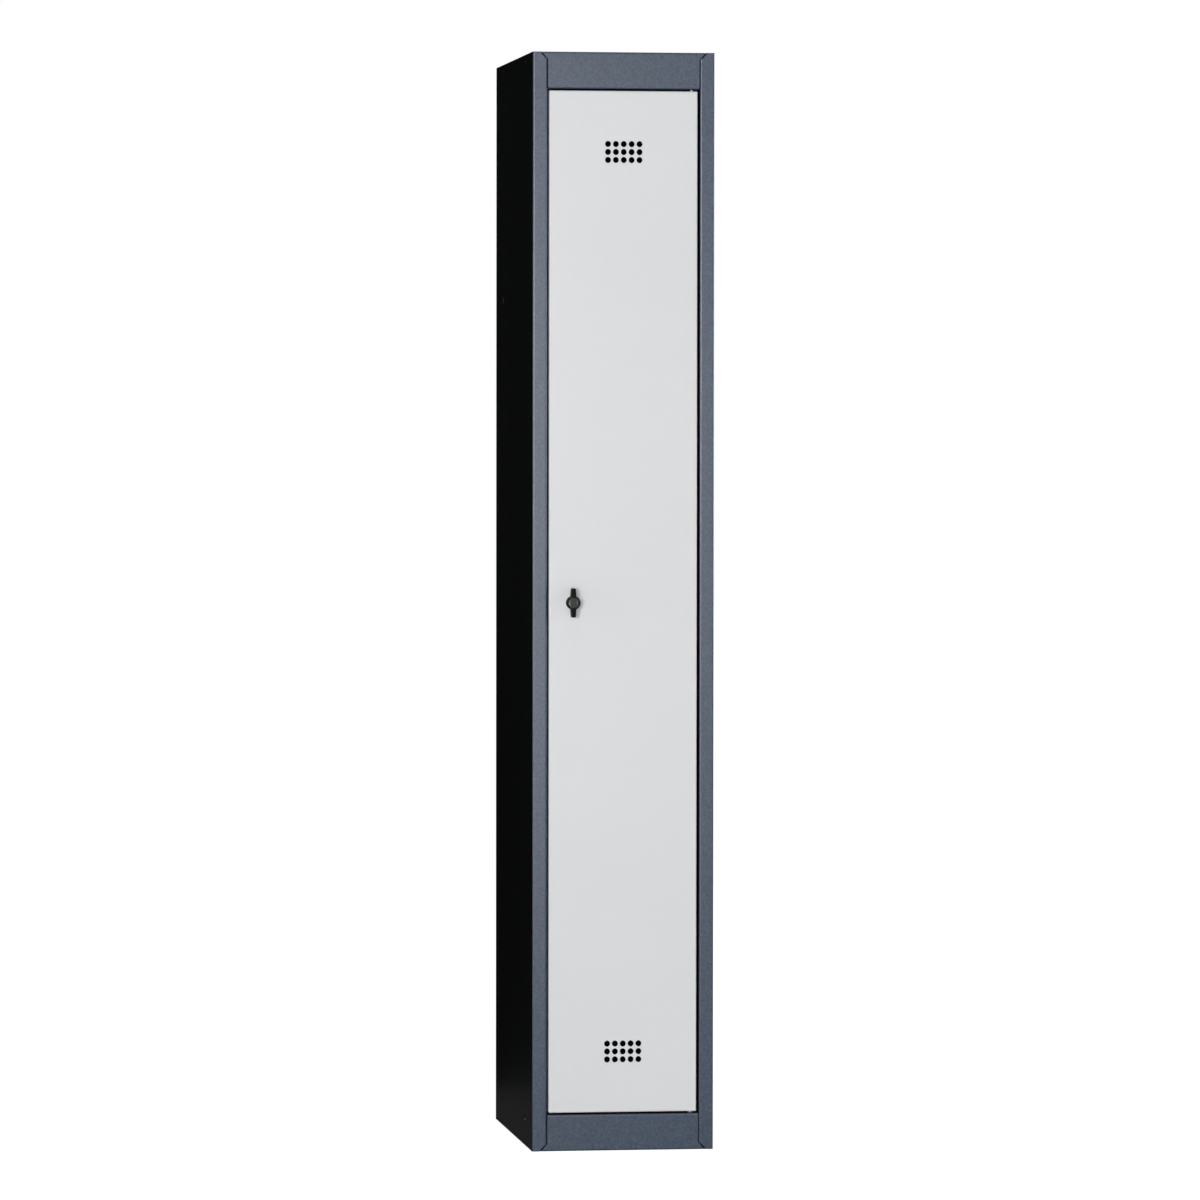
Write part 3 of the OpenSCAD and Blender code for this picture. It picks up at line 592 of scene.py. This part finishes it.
def plated_metal(name, colour, roughness, grain_mm, stretch=(1.0, 1.0, 1.0)):
    """Metal with cloudy patches and fine marks, stretched along one axis where it was drawn."""
    metal, tree, shader = new_material(name)
    place = add_node(tree, "ShaderNodeTexCoord").outputs["Object"]
    drawn = add_node(tree, "ShaderNodeMapping", Vector=place, Scale=stretch)
    marks = noise(tree, drawn.outputs[0], grain_mm * MM, 4.0)
    tone = mapped(tree, marks, PATCH_SPAN, PATCH_DARK, PATCH_PALE)
    gloss = mapped(
        tree, marks, PATCH_SPAN, roughness - PATCH_GLOSSIER, roughness + PATCH_DULLER,
    )
    coat(tree, shader, colour, tone, gloss)
    shader.inputs["Metallic"].default_value = 1.0
    return metal


zinc_plate = plated_metal("bright_zinc_plate", "E2E3E0", 0.24, 2.0)
dressed("shelf_rivets", 0.15, zinc_plate, "carcass")


# The coat rail: an oval tube of drawn bright steel, 30 by 15 mm, with marks that run along it. It
# rests in two steel angles that are riveted under the shelf.
bright_steel = plated_metal("drawn_bright_steel", "C4C6C9", 0.30, 1.2, (0.03, 1.0, 1.0))
dressed("coat_rail", 0.2, bright_steel, "carcass")
pressed_steel = plated_metal("pressed_bright_steel", "BFC1C4", 0.36, 1.6)
for node in ("left_rail_bracket", "right_rail_bracket"):
    dressed(node, 0.3, pressed_steel, "carcass")


# The bracket rivets: four drive rivets with low domed heads above and below, as they are set. The
# shanks pass through the shelf and the bracket's seat.
def rivet_tree():
    """A rivet standing on each point of a line: a shank with a low dome at both ends."""
    tree, given = open_tree("rivet_row", {
        "First": "Vector", "Step": "Vector", "Number": "Int", "Head radius": "Float",
        "Head height": "Float", "Shank radius": "Float", "Grip": "Float",
    })
    shank = add_node(
        tree, "GeometryNodeMeshCylinder", {"fill_type": "NGON"},
        Vertices=24, Radius=given["Shank radius"], Depth=given["Grip"],
    )
    ball = add_node(
        tree, "GeometryNodeMeshUVSphere", Segments=28, Rings=14, Radius=given["Head radius"],
    )
    flatness = calculated(tree, "DIVIDE", given["Head height"], given["Head radius"])
    flat = add_node(tree, "ShaderNodeCombineXYZ", X=1.0, Y=1.0, Z=flatness)
    heads = []
    for end_share in (0.5, -0.5):
        height = calculated(tree, "MULTIPLY", given["Grip"], end_share)
        place = add_node(tree, "ShaderNodeCombineXYZ", Z=height)
        heads.append(add_node(
            tree, "GeometryNodeTransform",
            Geometry=ball.outputs["Mesh"], Translation=place.outputs[0], Scale=flat.outputs[0],
        ))
    joined = add_node(tree, "GeometryNodeJoinGeometry")
    for part in (*heads, shank):
        tree.links.new(part.outputs[0], joined.inputs[0])
    rivets = add_node(
        tree, "GeometryNodeInstanceOnPoints",
        Points=row_of_points(tree, given), Instance=joined.outputs[0],
    )
    return close_tree(tree, given, rivets.outputs[0], True)


RIVET_HEAD_H = 1.0 * MM
RIVET_HEAD_R = 4.0 * MM
RIVET_SHANK_R = 2.0 * MM
rivets_low, rivets_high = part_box("bracket_rivets")
rivet_rows = [
    {
        "First": (x, rivets_low.y + RIVET_HEAD_R, (rivets_low.z + rivets_high.z) / 2),
        "Step": (0.0, rivets_high.y - rivets_low.y - 2 * RIVET_HEAD_R, 0.0), "Number": 2,
        "Head radius": RIVET_HEAD_R, "Head height": RIVET_HEAD_H, "Shank radius": RIVET_SHANK_R,
        "Grip": rivets_high.z - rivets_low.z - 2 * RIVET_HEAD_H,
    }
    for x in (rivets_low.x + RIVET_HEAD_R, rivets_high.x - RIVET_HEAD_R)
]
rivets = grown(
    "bracket_rivet_set", rivet_tree(), rivet_rows, zinc_plate, "carcass",
)
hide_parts("bracket_rivets")


# The sliding hooks: black moulded nylon, each with an oval collar that rides on the rail. A mould
# leaves a fine spark texture, dull and a little uneven, and a soft edge everywhere.
MOULD_TONE_SHARE = 0.15
MOULD_GLOSS_SHARE = 0.06


def moulded_plastic(name, colour, roughness, grain_mm, grain_height_mm, level=0.35):
    """Plastic or rubber with the fine texture of its mould."""
    plastic, tree, shader = new_material(name)
    place = add_node(tree, "ShaderNodeTexCoord").outputs["Object"]
    grain = noise(tree, place, grain_mm * MM, 3.0)
    tone = mapped(tree, grain, NOISE_SPAN, 1.0 - MOULD_TONE_SHARE, 1.0 + MOULD_TONE_SHARE)
    gloss = mapped(
        tree, grain, NOISE_SPAN, roughness - MOULD_GLOSS_SHARE, roughness + MOULD_GLOSS_SHARE,
    )
    coat(tree, shader, colour, tone, gloss)
    shader.inputs["Specular IOR Level"].default_value = level
    raise_grain(tree, shader, grain, grain_height_mm)
    return plastic


black_nylon = moulded_plastic("black_moulded_nylon", "1A1A1C", 0.5, 0.6, 0.03)
for number in (1, 2, 3):
    dressed(
        f"hook_{number}", 0.5, black_nylon, f"hook_{number}",
        flat_degrees=40, steps=3,
    )


# The door buffers: two soft rubber discs on the lock side's stop lip, dull black, with a rounded
# rim. The door's hem lands on them.
rubber = moulded_plastic("black_rubber", "101010", 0.8, 0.5, 0.03)
dressed("door_buffers", 0.8, rubber, "carcass", steps=3)


# The pivot bushes: black nylon sleeves with a thin rim, pressed into the rails.
bush_nylon = moulded_plastic("black_bush_nylon", "0E0E0F", 0.6, 0.6, 0.02, 0.2)
for node in ("top_pivot_bush", "bottom_pivot_bush"):
    dressed(node, 0.25, bush_nylon, "carcass")


# The door: one sheet folded back on all four sides, 18 mm deep, with a hem down each long edge.
# Light grey powder coat, smoother and paler than the frame's, so its speckle hardly shows.
door_paint = powder_coat("light_grey_powder_coat", "DCDDDF", 0.45, 0.4, 3.0, 0.006, 2.5, 0.008)
dressed("door_skin", 0.2, door_paint, "door")


# The vent holes: two groups of fifteen, punched through the door. The punch draws the sheet in a
# little, and the paint builds up to a thin pale rim round each hole.
def punched_rim_tree():
    """A grid of thin rings that stand upright, each round one hole."""
    tree, given = open_tree("punched_rims", {
        "Middle": "Vector", "Pitch": "Float", "Columns": "Int", "Rows": "Int",
        "Hole radius": "Float", "Rim radius": "Float",
    })
    width, height = [
        calculated(
            tree, "MULTIPLY", calculated(tree, "SUBTRACT", given[count], 1.0), given["Pitch"],
        )
        for count in ("Columns", "Rows")
    ]
    grid = add_node(
        tree, "GeometryNodeMeshGrid",
        Size_X=width, Size_Y=height, Vertices_X=given["Columns"], Vertices_Y=given["Rows"],
    )
    around = add_node(
        tree, "GeometryNodeCurvePrimitiveCircle",
        Resolution=32, Radius=calculated(tree, "ADD", given["Hole radius"], given["Rim radius"]),
    )
    section = add_node(
        tree, "GeometryNodeCurvePrimitiveCircle", Resolution=8, Radius=given["Rim radius"],
    )
    ring = add_node(
        tree, "GeometryNodeCurveToMesh",
        Curve=around.outputs[0], Profile_Curve=section.outputs[0],
    )
    rings = add_node(
        tree, "GeometryNodeInstanceOnPoints",
        Points=grid.outputs["Mesh"], Instance=ring.outputs[0],
    )
    upright = add_node(
        tree, "GeometryNodeTransform",
        Geometry=rings.outputs[0], Translation=given["Middle"], Rotation=(math.pi / 2, 0.0, 0.0),
    )
    return close_tree(tree, given, upright.outputs[0], True)


RIM_R = 0.45 * MM
RIM_SINK = 0.05 * MM
VENT_PITCH = 13.0 * MM
VENT_R = 5.0 * MM
VENTS_FROM_END = 100.0 * MM
skin_low, skin_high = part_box("door_skin")
vent_rows = [
    {
        "Middle": ((skin_low.x + skin_high.x) / 2, skin_low.y + RIM_SINK, height),
        "Pitch": VENT_PITCH, "Columns": 5, "Rows": 3,
        "Hole radius": VENT_R, "Rim radius": RIM_R,
    }
    for height in (skin_high.z - VENTS_FROM_END, skin_low.z + VENTS_FROM_END)
]
grown("vent_hole_rims", punched_rim_tree(), vent_rows, door_paint, "door")


# The stiffener: a hat section of the same sheet, spot welded inside the door between the vents.
STIFFENER_FLANGE_MIDDLE = 7.5 * MM
STIFFENER_FIRST_Z = 40 * MM
STIFFENER_PITCH = 110 * MM
dressed("door_stiffener", SHEET_EDGE_MM, door_paint, "door")
stiff_low, stiff_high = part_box("door_stiffener")
stiffener_rows = [
    {
        "First": (x, stiff_low.y + SHEET_T + WELD_H / 2, stiff_low.z + STIFFENER_FIRST_Z),
        "Step": (0.0, 0.0, STIFFENER_PITCH), "Number": 12,
        "Diameter": WELD_D, "Height": WELD_H, "Turn": FACE_BACK,
    }
    for x in (stiff_low.x + STIFFENER_FLANGE_MIDDLE, stiff_high.x - STIFFENER_FLANGE_MIDDLE)
]
grown("stiffener_spot_welds", spot_welds, stiffener_rows, door_paint, "door")


# The pivots: a zinc-plated block in each end of the door, with a pin of bright steel that turns in
# the bush, and a washer under the lower one that carries the door.
for node in ("top_pivot_block", "bottom_pivot_block"):
    dressed(node, 0.4, zinc_plate, "door")
turned_steel = plated_metal("turned_bright_steel", "C8CACC", 0.26, 0.8, (1.0, 1.0, 0.1))
for node, edge_mm in (("top_pivot_pin", 0.3), ("bottom_pivot_pin", 0.3), ("thrust_washer", 0.15)):
    dressed(node, edge_mm, turned_steel, "door")


# The lock body and its nut: die-cast and zinc plated. The body's pale satin face shows round the
# knob's foot and at the bottom of the knob's wells.
satin_zinc = plated_metal("satin_zinc_plate", "E2E3E0", 0.46, 2.0)
dressed("lock_body", 0.3, satin_zinc, "door", steps=3)
dressed("lock_nut", 0.5, zinc_plate, "door")


# The winged knob: black moulded nylon, with an open well on each side of the block that the
# padlock's shackle goes through, and a bare grey cap on its front. The wells' walls are painted
# pale as a painted highlight, so the wells read bright round the block.
knob_nylon = moulded_plastic("black_knob_nylon", "0A0A0B", 0.6, 0.6, 0.02, 0.15)
WELL_FROM_MIDDLE = 5.3 * MM
WELL_REACH = 8.5 * MM
WALL_NORMAL_Y = 0.5
knob_low, knob_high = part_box("turn_knob")
knob_x = (knob_low.x + knob_high.x) / 2
knob_z = (knob_low.z + knob_high.z) / 2


def in_the_wells(face):
    """True for the walls of the knob's two wells."""
    middle = face.calc_center_median()
    beside = abs(middle.x - knob_x)
    from_axis = math.hypot(beside, middle.z - knob_z)
    return (
        abs(face.normal.y) < WALL_NORMAL_Y and beside > WELL_FROM_MIDDLE
        and from_axis < WELL_REACH
    )


dressed(
    "turn_knob", 0.55, knob_nylon, "latch", flat_degrees=35, steps=3,
    picked=lambda face: not in_the_wells(face),
)
# Pale paint on the wells' walls: a painted highlight.
well_highlight_paint = plated_metal("pale_painted_highlight", "F4F1E8", 0.45, 1.5)
dressed(
    "turn_knob", 0.1, well_highlight_paint, "latch", flat_degrees=35,
    picked=in_the_wells, end="painted_highlight_lining",
)
grey_nylon = moulded_plastic("grey_moulded_nylon", "303231", 0.5, 0.6, 0.02, 0.3)
dressed("knob_cap", 0.4, grey_nylon, "latch", steps=3)


# The grip ribs: five short bars moulded across each of the knob's wings, low enough to stay behind
# the cap's face.
def grip_rib_tree():
    """Short rounded bars, one above the other, that lie across a wing."""
    tree, given = open_tree("grip_ribs", {
        "First": "Vector", "Step": "Vector", "Number": "Int",
        "Length": "Float", "Radius": "Float",
    })
    bar = add_node(
        tree, "GeometryNodeMeshUVSphere", Segments=12, Rings=12, Radius=given["Radius"],
    )
    length_share = calculated(tree, "DIVIDE", given["Length"], given["Radius"])
    half_share = calculated(tree, "MULTIPLY", length_share, 0.5)
    long = add_node(tree, "ShaderNodeCombineXYZ", X=half_share, Y=1.0, Z=1.0)
    ribs = add_node(
        tree, "GeometryNodeInstanceOnPoints",
        Points=row_of_points(tree, given), Instance=bar.outputs["Mesh"], Scale=long.outputs[0],
    )
    return close_tree(tree, given, ribs.outputs[0], True)


RIB_R = 0.45 * MM
RIB_SINK = 0.05 * MM
RIB_LENGTH = 4.6 * MM
RIB_PITCH = 1.7 * MM
RIBS_FROM_TIP = 2.0 * MM
rib_rows = [
    {
        "First": (knob_x, knob_low.y + RIB_SINK, tip + inward * RIBS_FROM_TIP),
        "Step": (0.0, 0.0, inward * RIB_PITCH), "Number": 5,
        "Length": RIB_LENGTH, "Radius": RIB_R,
    }
    for tip, inward in ((knob_high.z, -1.0), (knob_low.z, 1.0))
]
grown("knob_grip_ribs", grip_rib_tree(), rib_rows, knob_nylon, "latch")


# Behind the door: the spindle, its washer, the cam that swings behind the stop lip, and the nut
# that holds it.
dressed("spindle", 0.2, turned_steel, "latch")
dressed("cam_washer", 0.15, zinc_plate, "latch")
dressed("latch_cam", 0.3, pressed_steel, "latch")
dressed("cam_nut", 0.4, zinc_plate, "latch")
